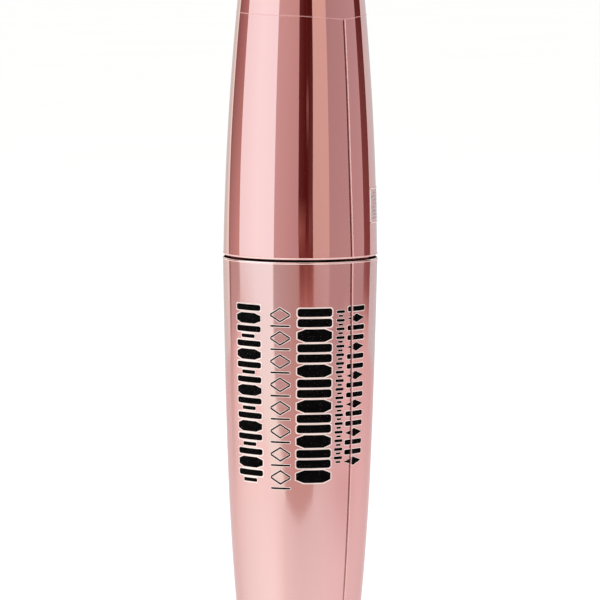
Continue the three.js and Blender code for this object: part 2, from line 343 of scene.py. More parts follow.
def solid(name, verts, faces, materials, body, nodes=(), slot=None, face_slots=None, sharp=38):
    mesh = bpy.data.meshes.new(name)
    mesh.from_pydata([Vector(v) * MM for v in verts], [], faces)
    for material in materials:
        mesh.materials.append(material)
    if face_slots:
        mesh.polygons.foreach_set("material_index", face_slots)
    tidy = bmesh.new()
    tidy.from_mesh(mesh)
    bmesh.ops.recalc_face_normals(tidy, faces=tidy.faces)
    tidy.to_mesh(mesh)
    tidy.free()
    mesh.shade_smooth()
    mesh.set_sharp_from_angle(angle=math.radians(sharp))
    made = bpy.data.objects.new(name, mesh)
    bpy.context.scene.collection.objects.link(made)
    if body:
        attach(made, body)
    if nodes:
        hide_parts(*nodes)
    return made


def turned_mesh(profile, sides=SIDES):
    """A body of revolution. A profile starting on the axis ends on it, any other closes on itself."""
    verts, rings = [], []
    for r, z in profile:
        count = 1 if r == 0 else sides
        rings.append([len(verts) + (k % count) for k in range(sides)])
        verts += [spot(r, 360 * k / sides, z) for k in range(count)]
    bands = len(rings) - 1 if profile[0][0] == 0 else len(rings)
    faces = []
    for i in range(bands):
        low, high = rings[i], rings[(i + 1) % len(rings)]
        for k in range(sides):
            n = (k + 1) % sides
            face = [low[k], low[n], high[n], high[k]]
            faces.append(list(dict.fromkeys(face)))
    return verts, faces


def skinned_mesh(rings):
    """A solid through rings of points, closed at both ends."""
    count = len(rings[0])
    verts = [p for ring in rings for p in ring]
    faces = []
    for i in range(len(rings) - 1):
        for k in range(count):
            n = (k + 1) % count
            faces.append([i * count + k, i * count + n, (i + 1) * count + n, (i + 1) * count + k])
    last = (len(rings) - 1) * count
    faces.append([count - 1 - k for k in range(count)])
    faces.append([last + k for k in range(count)])
    return verts, faces


def turned(name, profile, material, body, nodes=(), slot=None, **extra):
    return solid(name, *turned_mesh(profile), [material], body, nodes, slot, **extra)


def shell(name, profile, material, rim, body, node, slot):
    """A plated shell whose outer rim rounding is painted pale as a highlight and whose end face beside it is
    painted near black as shade in the joint.
    """
    verts, faces = turned_mesh(profile)
    skin = max(rim_edge, cap_rim) - 0.02
    looks = []
    for face in faces:
        near = all(abs(verts[k][2] - rim) <= RIM_ROUND + 0.001 for k in face)
        outer = max(math.hypot(*verts[k][:2]) for k in face) > skin
        flat = all(abs(verts[k][2] - rim) < 0.04 for k in face)
        # Slot 1 is the painted highlight on the outer rim rounding, slot 2 the painted shade on the end face
        # and inner rounding in the joint gap.
        looks.append(0 if not near else 1 if outer and not flat else 2)
    return solid(name, verts, faces, [material, RIM_HIGHLIGHT, GAP_SHADE], body, [node], slot, face_slots=looks)


def united(keep, added):
    """The boolean union of two pieces, as the mesh of the first."""
    cut = keep.modifiers.new("join", "BOOLEAN")
    cut.operation, cut.solver, cut.object = "UNION", "EXACT", added
    bpy.context.view_layer.update()
    graph = bpy.context.evaluated_depsgraph_get()
    mesh = bpy.data.meshes.new_from_object(keep.evaluated_get(graph), depsgraph=graph)
    keep.modifiers.clear()
    keep.data = mesh
    bpy.data.objects.remove(added)
    mesh.shade_smooth()
    mesh.set_sharp_from_angle(angle=math.radians(38))
    return keep


def thread_ridge(root, crest, start, turns, material):
    """A helical thread ridge with rounded flanks that runs out at both ends."""
    per_turn = 64
    steps = round(turns * per_turn)
    rings = []
    for i in range(steps + 1):
        # the helix rises anticlockwise seen from above, from the +X direction
        degrees = 90 + 360 * i / per_turn
        z = start + PITCH * i / per_turn
        end = min(i, steps - i) / (per_turn / 8)
        fade = math.sin(min(1.0, end) * math.pi / 2) * 0.85 + 0.15
        top = root + (crest - root) * fade
        near = root + (top - root) * 0.75
        shape = [(root, -0.55), (near, -0.4), (top, -0.22), (top, 0.22), (near, 0.4), (root, 0.55)]
        rings.append([spot(r, degrees, z + h) for r, h in shape])
    return solid("ridge", *skinned_mesh(rings), [material], None)


# ---------------------------------------------------------------- bottle

base_edge = bottle_radius(BASE_CORNER) - BASE_CORNER
rim_edge = bottle_radius(BOTTLE_TOP - RIM_ROUND) - RIM_ROUND
cap_rim = cap_radius(CAP_BOTTOM + RIM_ROUND) - RIM_ROUND
bottle_mouth = bottle_radius(BOTTLE_TOP) - SHELL_WALL
shell(
    "bottle_body",
    [(0, 0)]
    + arc(base_edge, BASE_CORNER, BASE_CORNER, -90, 0)
    + wall(bottle_radius, 0, BASE_CORNER + 0.6, BOTTLE_TOP - RIM_ROUND - 0.2)
    + arc(rim_edge, BOTTLE_TOP - RIM_ROUND, RIM_ROUND, 0, 90)
    + arc(bottle_mouth + RIM_ROUND, BOTTLE_TOP - RIM_ROUND, RIM_ROUND, 90, 180, 4)
    + wall(bottle_radius, SHELL_WALL, BOTTLE_TOP - 1, BASE_FLOOR)
    + [(0, BASE_FLOOR)],
    SATIN,
    BOTTLE_TOP,
    "bottle",
    "bottle_shell",
    "bottle_plating",
)

outside = SHELL_WALL + FIT
inside = outside + INNER_WALL
reservoir_base = BASE_FLOOR + FIT
reservoir_floor = reservoir_base + INNER_WALL
reservoir = turned(
    "reservoir",
    [(0, reservoir_base)]
    + wall(bottle_radius, outside, reservoir_base, SHOULDER_TOP - 0.8)
    + arc(bottle_radius(SHOULDER_TOP) - outside - 0.4, SHOULDER_TOP - 0.4, 0.4, 0, 90)
    + arc(NECK_RADIUS + 0.5, SHOULDER_TOP + 0.5, 0.5, 270, 180)
    + [(NECK_RADIUS, NECK_TOP - 0.4)]
    + arc(NECK_RADIUS - 0.3, NECK_TOP - 0.3, 0.3, 0, 90)
    + [(NECK_BORE, NECK_TOP), (NECK_BORE, SHOULDER_TOP - 1.3)]
    + wall(bottle_radius, inside, RESERVOIR_TOP, reservoir_floor)
    + [(0, reservoir_floor)],
    DARK,
    "bottle",
    ["inner_bottle"],
    "inner_bottle",
)
neck_root = NECK_RADIUS - THREAD_BITE
united(reservoir, thread_ridge(neck_root, NECK_CREST, BOTTLE_THREAD_START, BOTTLE_THREAD_TURNS, DARK))

turned(
    "neck_wiper",
    [
        (WIPER_HOLE, WIPER_TIP),
        (WIPER_HOLE + 0.5, WIPER_TIP),
        (NECK_BORE - FIT, WIPER_FUNNEL - 0.5),
        (NECK_BORE - FIT, NECK_TOP + FIT),
        (NECK_RADIUS - 0.2, NECK_TOP + FIT),
    ]
    + arc(NECK_RADIUS - 0.35, WIPER_TOP - 0.15, 0.15, 0, 90, 4)
    + arc(WIPER_INNER + 0.2, WIPER_TOP - 0.2, 0.2, 90, 180, 4)
    + [(WIPER_INNER, WIPER_FUNNEL), (WIPER_HOLE, WIPER_TIP + 0.5)],
    SOFT,
    "bottle",
    ["wiper"],
    "wiper",
)

turned(
    "paste_fill",
    [(0, PASTE_BASE)]
    + wall(bottle_radius, inside + PASTE_GAP, PASTE_BASE, PASTE_TOP - 0.2)
    + arc(5.6, PASTE_TOP - 0.6, 0.6, 60, 120, 6)
    + [(PASTE_CHANNEL[0][0], PASTE_TOP - 0.4)]
    + PASTE_CHANNEL,
    PASTE,
    "paste",
    ["mascara_paste"],
    "paste",
)


# ---------------------------------------------------------------- cap and wand

top_edge = cap_radius(LENGTH - CAP_CORNER) - CAP_CORNER
ceiling = LENGTH - BASE_FLOOR
cap_mouth = cap_radius(CAP_BOTTOM) - SHELL_WALL
shell(
    "cap_body",
    [(0, ceiling)]
    + wall(cap_radius, SHELL_WALL, ceiling, CAP_BOTTOM + 1)
    + arc(cap_mouth + RIM_ROUND, CAP_BOTTOM + RIM_ROUND, RIM_ROUND, 180, 270, 4)
    + arc(cap_rim, CAP_BOTTOM + RIM_ROUND, RIM_ROUND, 270, 360)
    + wall(cap_radius, 0, CAP_BOTTOM + RIM_ROUND + 0.2, LENGTH - CAP_CORNER - 0.4)
    + arc(top_edge, LENGTH - CAP_CORNER, CAP_CORNER, 0, 90)
    + [(0, LENGTH)],
    MIRROR,
    CAP_BOTTOM,
    "cap",
    "cap_shell",
    "cap_plating",
)

insert = turned(
    "cap_insert",
    [
        (0, SOCKET_TOP),
        (ROD_RADIUS + FIT, SOCKET_TOP),
        (ROD_RADIUS + FIT, INSERT_CEILING),
        (INSERT_BORE, INSERT_CEILING),
        (INSERT_BORE, INSERT_LOW + 0.3),
        (INSERT_BORE + 0.3, INSERT_LOW),
    ]
    + wall(cap_radius, outside, INSERT_LOW, INSERT_SHOULDER)
    + [(SOCKET_RADIUS, INSERT_SHOULDER)]
    + arc(SOCKET_RADIUS - 0.4, SOCKET_TOP + 0.9, 0.4, 0, 90)
    + [(0, SOCKET_TOP + 1.3)],
    BLACK,
    "cap",
    ["inner_cap"],
    "inner_cap",
)
cap_root = INSERT_BORE + THREAD_BITE
united(insert, thread_ridge(cap_root, CAP_CREST, CAP_THREAD_START, CAP_THREAD_TURNS, BLACK))

turned(
    "washer_ring",
    [
        (WASHER_HOLE, WASHER_LOW + 0.1),
        (WASHER_HOLE + 0.1, WASHER_LOW),
        (WASHER_RADIUS - 0.1, WASHER_LOW),
        (WASHER_RADIUS, WASHER_LOW + 0.1),
        (WASHER_RADIUS, WASHER_HIGH - 0.1),
        (WASHER_RADIUS - 0.1, WASHER_HIGH),
        (WASHER_HOLE + 0.1, WASHER_HIGH),
        (WASHER_HOLE, WASHER_HIGH - 0.1),
    ],
    FOAM,
    "washer",
    ["seal_washer"],
    "washer",
)

turned(
    "wand_rod",
    [(0, ROD_HOLE_TOP), (WIRE_HOLE, ROD_HOLE_TOP), (WIRE_HOLE, ROD_TIP + 0.1), (WIRE_HOLE + 0.1, ROD_TIP)]
    + arc(1.45, ROD_TIP + 0.15, 0.15, 270, 345, 4)
    + [(ROD_RADIUS, ROD_TIP + ROD_TAPER), (ROD_RADIUS, ROD_TOP - 0.3)]
    + [(ROD_RADIUS - 0.3, ROD_TOP), (0, ROD_TOP)],
    BLACK,
    "cap",
    ["rod"],
    "rod",
)


def swept_mesh(path, radius, sides):
    """A round wire along a path."""
    normal = Vector((1, 0, 0))
    rings = []
    for i, point in enumerate(path):
        ahead, behind = path[min(i + 1, len(path) - 1)], path[max(i - 1, 0)]
        tangent = (ahead - behind).normalized()
        normal = (normal - tangent * normal.dot(tangent)).normalized()
        across = tangent.cross(normal)
        turns = [TAU * k / sides for k in range(sides)]
        rings.append([point + (normal * math.cos(a) + across * math.sin(a)) * radius for a in turns])
    return skinned_mesh(rings)


def wire_path():
    """A wire folded in a hairpin and twisted, with the fold up inside the rod."""
    per_turn = 24
    steps = round((WIRE_HIGH - WIRE_LOW) / WIRE_PITCH * per_turn)

    def strand(i, side):
        z = WIRE_LOW + (WIRE_HIGH - WIRE_LOW) * i / steps
        return Vector(spot(WIRE_OFFSET, 90 + 360 * i / per_turn + side, z))

    first, second = strand(steps, 0), strand(steps, 180)
    fold = []
    for i in range(1, 8):
        a = math.pi * i / 8
        point = first.lerp(second, (1 - math.cos(a)) / 2)
        fold.append(point + Vector((0, 0, WIRE_OFFSET * math.sin(a))))
    up = [strand(i, 0) for i in range(steps + 1)]
    return up + fold + [strand(i, 180) for i in range(steps, -1, -1)]


solid("brush_core", *swept_mesh(wire_path(), WIRE_RADIUS, 12), [STEEL], "cap", ["brush_wire"], "wire")


def fibre_mesh():
    """Tapered nylon fibres standing out of the twisted wire in a double spiral ramp."""
    draw = random.Random(7)
    verts, faces = [], []
    low, high = BRUSH_STATIONS[0][0], BRUSH_STATIONS[-1][0]
    for i in range(FIBRE_PAIRS):
        z = low + (high - low) * (i + draw.random()) / FIBRE_PAIRS
        twist = 90 + 360 * (z - WIRE_LOW) / WIRE_PITCH
        for side in (0, 180):
            degrees = twist + side + draw.uniform(-FIBRE_SPREAD, FIBRE_SPREAD)
            reach = brush_radius(z) * draw.uniform(0.93, 1.0)
            tilt = draw.uniform(-0.25, 0.25)
            bow = draw.uniform(-9, 9)
            # at its root, on the way and at its tip: how far out, half thickness and share of its bow
            steps = [(0.45, 0.055, 0.0), (reach * 0.6, 0.05, 0.35), (reach, 0.025, 1.0)]
            first = len(verts)
            flat = Vector(spot(1, degrees, 0)).cross(Vector((0, 0, 1)))
            for r, thick, share in steps:
                middle = Vector(spot(r, degrees + bow * share * share, z + tilt * share))
                for k in range(3):
                    a = TAU * k / 3
                    up = Vector((0, 0, thick * math.sin(a)))
                    verts.append(middle + flat * (thick * math.cos(a)) + up)
            for ring in (0, 3):
                for k in range(3):
                    n = (k + 1) % 3
                    a, b = first + ring + k, first + ring + n
                    faces.append([a, b, b + 3, a + 3])
            faces.append([first + 2, first + 1, first])
            faces.append([first + 6, first + 7, first + 8])
    return verts, faces


solid("brush_fibres", *fibre_mesh(), [FIBRE], "cap", ["bristles"], "bristles", sharp=80)


# ---------------------------------------------------------------- film

FILM_GAP = 0.045
FILM_THICK = 0.04
WELD = (-0.065, 0.065)
LAP = 0.2
WELD_BEAD = 0.03
LAP_BEAD = 0.012
CUT_BAND = 0.13
ROLLED_BAND = 0.09
MEAN_RADIUS = 9.2
FILM_ROW = 1.5


def film(name, radius_at, low, high, rise, seam, edges, body, node):
    """A shrink sleeve with its cut edges, its welded seam, which wanders a little, and the lap beside it.

    Its top edge is at high on the seam and rises away from it, as rise says by degrees from the seam.
    """
    mm_to_degrees = 360 / (TAU * MEAN_RADIUS)
    home = seam[0][1]
    marks = [home + w * mm_to_degrees for w in (WELD[0], 0.0, WELD[1], WELD[1] + LAP)]
    spread = [360 * k / SIDES for k in range(SIDES)]
    clear_of = [a for a in spread if not marks[0] - 1 < a < marks[3] + 1]
    angles = sorted(clear_of + marks)
    rows = math.ceil((high - low) / FILM_ROW)
    bands = [(CUT_BAND if edge == CUT else ROLLED_BAND) / (high - low) for edge in edges]
    shares = [0.0, bands[0]] + [i / rows for i in range(1, rows)] + [1 - bands[1], 1.0]
    verts, grid = [], []
    for share in shares:
        line = []
        for a in angles:
            top = high + along(rise, (a - home + 180) % 360 - 180)
            z = low + (top - low) * share
            bead = WELD_BEAD if abs(a - home) < 0.1 else LAP_BEAD if abs(a - marks[2]) < 0.1 else 0.0
            near = radius_at(z) + FILM_GAP
            drift = (along(seam, z) - home) * (1 - abs((a - home + 180) % 360 - 180) / 180)
            line.append((len(verts), len(verts) + 1))
            verts += [spot(near, a + drift, z), spot(near + FILM_THICK + bead, a + drift, z)]
        grid.append(line)
    faces, looks = [], []
    # Looks by face: the edge bands take the painted edge highlights, 3 the weld with its painted shade, 4
    # the lap with its painted highlight.
    weld = {i for i, a in enumerate(angles) if marks[0] - 0.01 <= a < marks[2] - 0.01}
    lap = {i for i, a in enumerate(angles) if marks[2] - 0.01 <= a < marks[3] - 0.01}

    def face(points, k, edge):
        faces.append(points)
        looks.append(edge or (3 if k in weld else 4 if k in lap else 0))

    last = len(grid) - 1
    count = len(angles)
    for k in range(count):
        n = (k + 1) % count
        for i in range(last):
            edge = edges[0] if i == 0 else edges[1] if i == last - 1 else 0
            a, b, c, d = grid[i][k], grid[i][n], grid[i + 1][n], grid[i + 1][k]
            face([a[1], b[1], c[1], d[1]], k, edge)
            face([d[0], c[0], b[0], a[0]], k, 0)
        for i, edge in ((0, edges[0]), (last, edges[1])):
            a, b = grid[i][k], grid[i][n]
            face([a[0], b[0], b[1], a[1]], k, edge)
    return solid(
        name,
        verts,
        faces,
        [FILM, CUT_EDGE_HIGHLIGHT, ROLLED_EDGE_HIGHLIGHT, SEAM_SHADE, SEAM_HIGHLIGHT],
        body,
        [node],
        "film",
        face_slots=looks,
    )


CUT, ROLLED = 1, 2
BOTTLE_FILM = (14, 67.93)
CAP_FILM = (68.52, 97.27)
# The seams: (height, direction from the front)
BOTTLE_SEAM = [(14, 44.3), (45, 44.1), (64, 41.2), (68, 40.8)]
CAP_CUT_RISE = [
    (-180, 0.78),
    (-106, 0.71),
    (-38, 0.42),
    (-9, 0.11),
    (0, 0.0),
    (20, 0.31),
    (60, 0.55),
    (180, 0.78),
]
CAP_SEAM = [(68, 41.5), (76, 40.4), (82, 39.9), (98, 39.8)]
LEVEL = [(0, 0.0)]
film("bottle_wrap", bottle_radius, *BOTTLE_FILM, LEVEL, BOTTLE_SEAM, (CUT, ROLLED), "bottle", "bottle_film")
film("cap_wrap", cap_radius, *CAP_FILM, CAP_CUT_RISE, CAP_SEAM, (ROLLED, CUT), "cap", "cap_film")


# ---------------------------------------------------------------- print


def mark(verts, faces, radius_at, middle, half, z, tall, lift, grow, shape):
    """One closed patch on the surface: half is its half width and tall its half height in mm.

    Its shape gives, from -1 at the bottom to 1 at the top, the width factor and how far the sides drop.
    """
    across, rows = 10, 8
    half, tall = half + grow, tall + grow
    per_mm = 360 / (TAU * radius_at(z))
    layers = []
    for lifted in lift:
        layer = []
        for i in range(rows + 1):
            v = -1 + 2 * i / rows
            wide, drop = shape(v)
            for j in range(across + 1):
                u = -1 + 2 * j / across
                height = z + tall * v - drop * abs(u)
                degrees = middle + half * wide * u * per_mm
                layer.append(len(verts))
                verts.append(spot(radius_at(height) + lifted, degrees, height))
        layers.append(layer)
    low, high = layers
    row = across + 1
    for i in range(rows):
        for j in range(across):
            a = i * row + j
            faces.append([high[a], high[a + 1], high[a + row + 1], high[a + row]])
            faces.append([low[a + row], low[a + row + 1], low[a + 1], low[a]])
    border = list(range(row))
    border += [i * row + across for i in range(1, rows + 1)]
    border += [rows * row + j for j in range(across - 1, -1, -1)]
    border += [i * row for i in range(rows - 1, 0, -1)]
    for k, a in enumerate(border):
        b = border[(k + 1) % len(border)]
        faces.append([low[a], low[b], high[b], high[a]])


def bar(v):
    return (1.0 - 0.12 * abs(v) ** 6, 0.0)


def short(v):
    return (0.55 - 0.06 * abs(v) ** 6, 0.0)


def lozenge(v):
    return (max(0.08, 1 - abs(v)), 0.0)


def hexagon(v):
    return (min(1.0, 1.45 - 0.9 * abs(v)), 0.0)


def peak(v):
    return (1.0, 0.75)


def dip(v):
    return (1.0, -0.75)


# Repeats of marks: the height of a repeat, then each mark's place down from its top, half height and shape.
HEAVY = (4.3, [(0.5, 0.5, bar), (1.75, 0.5, bar), (3.28, 0.78, hexagon)])
BOLD = (4.4, [(0.36, 0.36, bar), (1.66, 0.64, hexagon), (2.96, 0.36, bar), (3.84, 0.22, short)])
FINE = (2.83, [(0.1, 0.1, peak), (1.7, 0.1, dip), (2.25, 0.1, bar)])
TINY = (1.05, [(0.17, 0.17, bar), (0.68, 0.12, short)])
PLAIN = (3.5, [(0.3, 0.3, bar), (1.45, 0.5, lozenge), (2.6, 0.3, bar)])
# Upright columns of plain marks: direction, half width, top, bottom, rim round a mark and what repeats.
COLUMNS = [
    (-42.7, 1.95, 62.8, 40.9, 0.15, BOLD),
    (-15.0, 1.22, 62.6, 40.4, 0.07, FINE),
    (11.5, 2.15, 62.5, 40.9, 0.14, HEAVY),
    (32.0, 0.58, 62.2, 43.2, 0.05, TINY),
    (47.6, 1.5, 62.6, 42.6, 0.1, PLAIN),
]


def print_mesh(lift, grow):
    verts, faces = [], []
    for middle, half, top, bottom, rim, (every, run) in COLUMNS:
        for k in range(math.ceil((top - bottom) / every)):
            for down, tall, shape in run:
                z = top - every * k - down
                if z - tall >= bottom:
                    mark(verts, faces, bottle_radius, middle, half, z, tall, lift, rim * grow, shape)
    return verts, faces


solid("print_rims", *print_mesh((0.004, 0.012), 1), [INK_RIM], "bottle")
solid("print_marks", *print_mesh((0.012, 0.024), 0), [INK], "bottle")


CODE_MIDDLE, CODE_HALF, CODE_LOW, CODE_HIGH = 83.0, 2.85, 72.5, 76.65
CODE_LINE = 0.12
CODE_ROWS = 9


def code_mesh(marks, lift):
    """Small pale print on the cap's film, from (direction, half width, height, half height) marks."""
    verts, faces = [], []
    for middle, half, z, tall in marks:
        mark(verts, faces, cap_radius, middle, half, z, tall, lift, 0, bar)
    return verts, faces


code_centre = (CODE_LOW + CODE_HIGH) / 2
code_tall = (CODE_HIGH - CODE_LOW) / 2
code_turn = CODE_HALF * 360 / (TAU * cap_radius(code_centre))
code_sides = (CODE_MIDDLE - code_turn, CODE_MIDDLE + code_turn)
CODE_FRAME = [(CODE_MIDDLE, CODE_HALF, z, 0.05) for z in (CODE_LOW, CODE_HIGH)]
CODE_FRAME += [(side, CODE_LINE, code_centre, code_tall - CODE_LINE) for side in code_sides]
# The field is in bands, with a dash in each gap between them, because stacked layers would darken.
code_step = 2 * (code_tall - CODE_LINE) / CODE_ROWS
code_rows = [CODE_LOW + CODE_LINE + code_step * (k + 0.5) for k in range(CODE_ROWS)]
CODE_FIELD = [(CODE_MIDDLE, CODE_HALF - 0.2, z, code_step / 2 - 0.08) for z in code_rows]
CODE_DASHES = [
    (CODE_MIDDLE, (2.1, 1.4, 1.8)[k % 3], z + code_step / 2, 0.07) for k, z in enumerate(code_rows[:-1])
]
solid("code_rim", *code_mesh(CODE_FRAME, (0.087, 0.091)), [CODE_EDGE], "cap")
solid("code_label", *code_mesh(CODE_FIELD, (0.087, 0.090)), [CODE_LABEL], "cap")
solid("code_marks", *code_mesh(CODE_DASHES, (0.087, 0.090)), [CODE_INK], "cap")


# ---------------------------------------------------------------- studio


def stage_mesh(name, verts, faces, material):
    mesh = bpy.data.meshes.new(name)
    mesh.from_pydata([Vector(v) * MM for v in verts], [], faces)
    mesh.materials.append(material)
    made = bpy.data.objects.new(name, mesh)
    bpy.context.scene.collection.objects.link(made)
    return made


def painted_light():
    """Emission that takes its colour from the card's own vertex colours."""
    material = bpy.data.materials.new("painted_light")
    material.use_nodes = True
    tree = material.node_tree
    tree.nodes.clear()
    paint = tree.nodes.new("ShaderNodeAttribute")
    paint.attribute_name = "glow"
    light = tree.nodes.new("ShaderNodeEmission")
    out = tree.nodes.new("ShaderNodeOutputMaterial")
    tree.links.new(paint.outputs["Color"], light.inputs["Color"])
    tree.links.new(light.outputs[0], out.inputs["Surface"])
    return material


LIGHT = painted_light()


def card(name, grid, colours):
    """A card through a grid of points, seen only in reflections, with a colour at every point."""
    wide = len(grid[0])
    verts = [p for row in grid for p in row]
    faces = []
    for i in range(len(grid) - 1):
        for j in range(wide - 1):
            k = i * wide + j
            faces.append([k, k + 1, k + wide + 1, k + wide])
    made = stage_mesh(name, verts, faces, LIGHT)
    layer = made.data.color_attributes.new("glow", "FLOAT_COLOR", "POINT")
    for element, colour in zip(layer.data, [c for row in colours for c in row]):
        element.color = (*colour, 1)
    made.visible_camera = False
    made.visible_diffuse = False
    made.visible_shadow = False
    return made


CARD_RADIUS = 460.0
CARD_STEP = 3.0
CARD_HEIGHTS = (
    -250, -90, -80, -69, -62, -50, -25, -4, 3, 6, 9, 14,
    25, 44, 58, 75, 98, 110, 122, 138, 176, 300, 500,
)
# Edges between the cards: (height, direction from the front)
LEFT_END = [(0, -180)]
LEFT_MID = [(0, -151)]
ROSE_LEFT = [(25, -131.5), (44, -136), (75, -139.5), (110, -140), (176, -136)]
ROSE_LINE = [(25, -126.5), (44, -130), (75, -133), (110, -133.5), (176, -130)]
ROSE_RIGHT = [(-4, -123), (3, -110), (9, -101), (25, -102), (75, -105), (176, -108)]
WHITE_MID = [(0, -70)]
WHITE_RIGHT = [(-90, -11), (-69, -20.5), (-50, -26), (-25, -37), (0, -40.5), (44, -39.5)]
BLACK_LEFT = [(4, -0.5), (14, -1.5), (44, -2), (58, -3)]
BLACK_SPLIT_1 = [(44, 7), (75, 9)]
BLACK_SPLIT_2 = [(44, 13), (176, 12)]
BLACK_RIGHT = [
    (-90, 9), (-80, 13), (-69, 21), (-62, 23), (-25, 25),
    (6, 20), (44, 19), (75, 18.5), (138, 19.5),
]
PEACH_RIGHT = [(0, 44)]
MAUVE_RIGHT = [(14, 109.5), (44, 111), (58, 110.5), (110, 109.5)]
DARK_RIGHT = [(14, 128), (44, 129.5), (75, 130), (110, 129.5), (176, 133)]
RIGHT_MID = [(0, 151)]
RIGHT_END = [(0, 180)]
DEEP = (0.085, 0.013, 0.012)
TONGUE = (0.70, 0.52, 0.49)
BOTTLE_DARK = [
    (-25, TONGUE), (-4, (0.54, 0.36, 0.33)), (3, (0.44, 0.20, 0.175)), (9, (0.20, 0.065, 0.055)),
]
LEFT_SKY = [(0, (0.73, 0.78, 0.76)), (110, (0.73, 0.82, 0.80))]
WHITE_MIDDLE = [(-40, (1.06, 1.30, 1.20)), (0, (1.04, 1.40, 1.48)), (44, (1.12, 1.76, 1.94))]
RIGHT_SKY = [(0, (0.68, 0.72, 0.75)), (176, (0.68, 0.80, 0.84))]
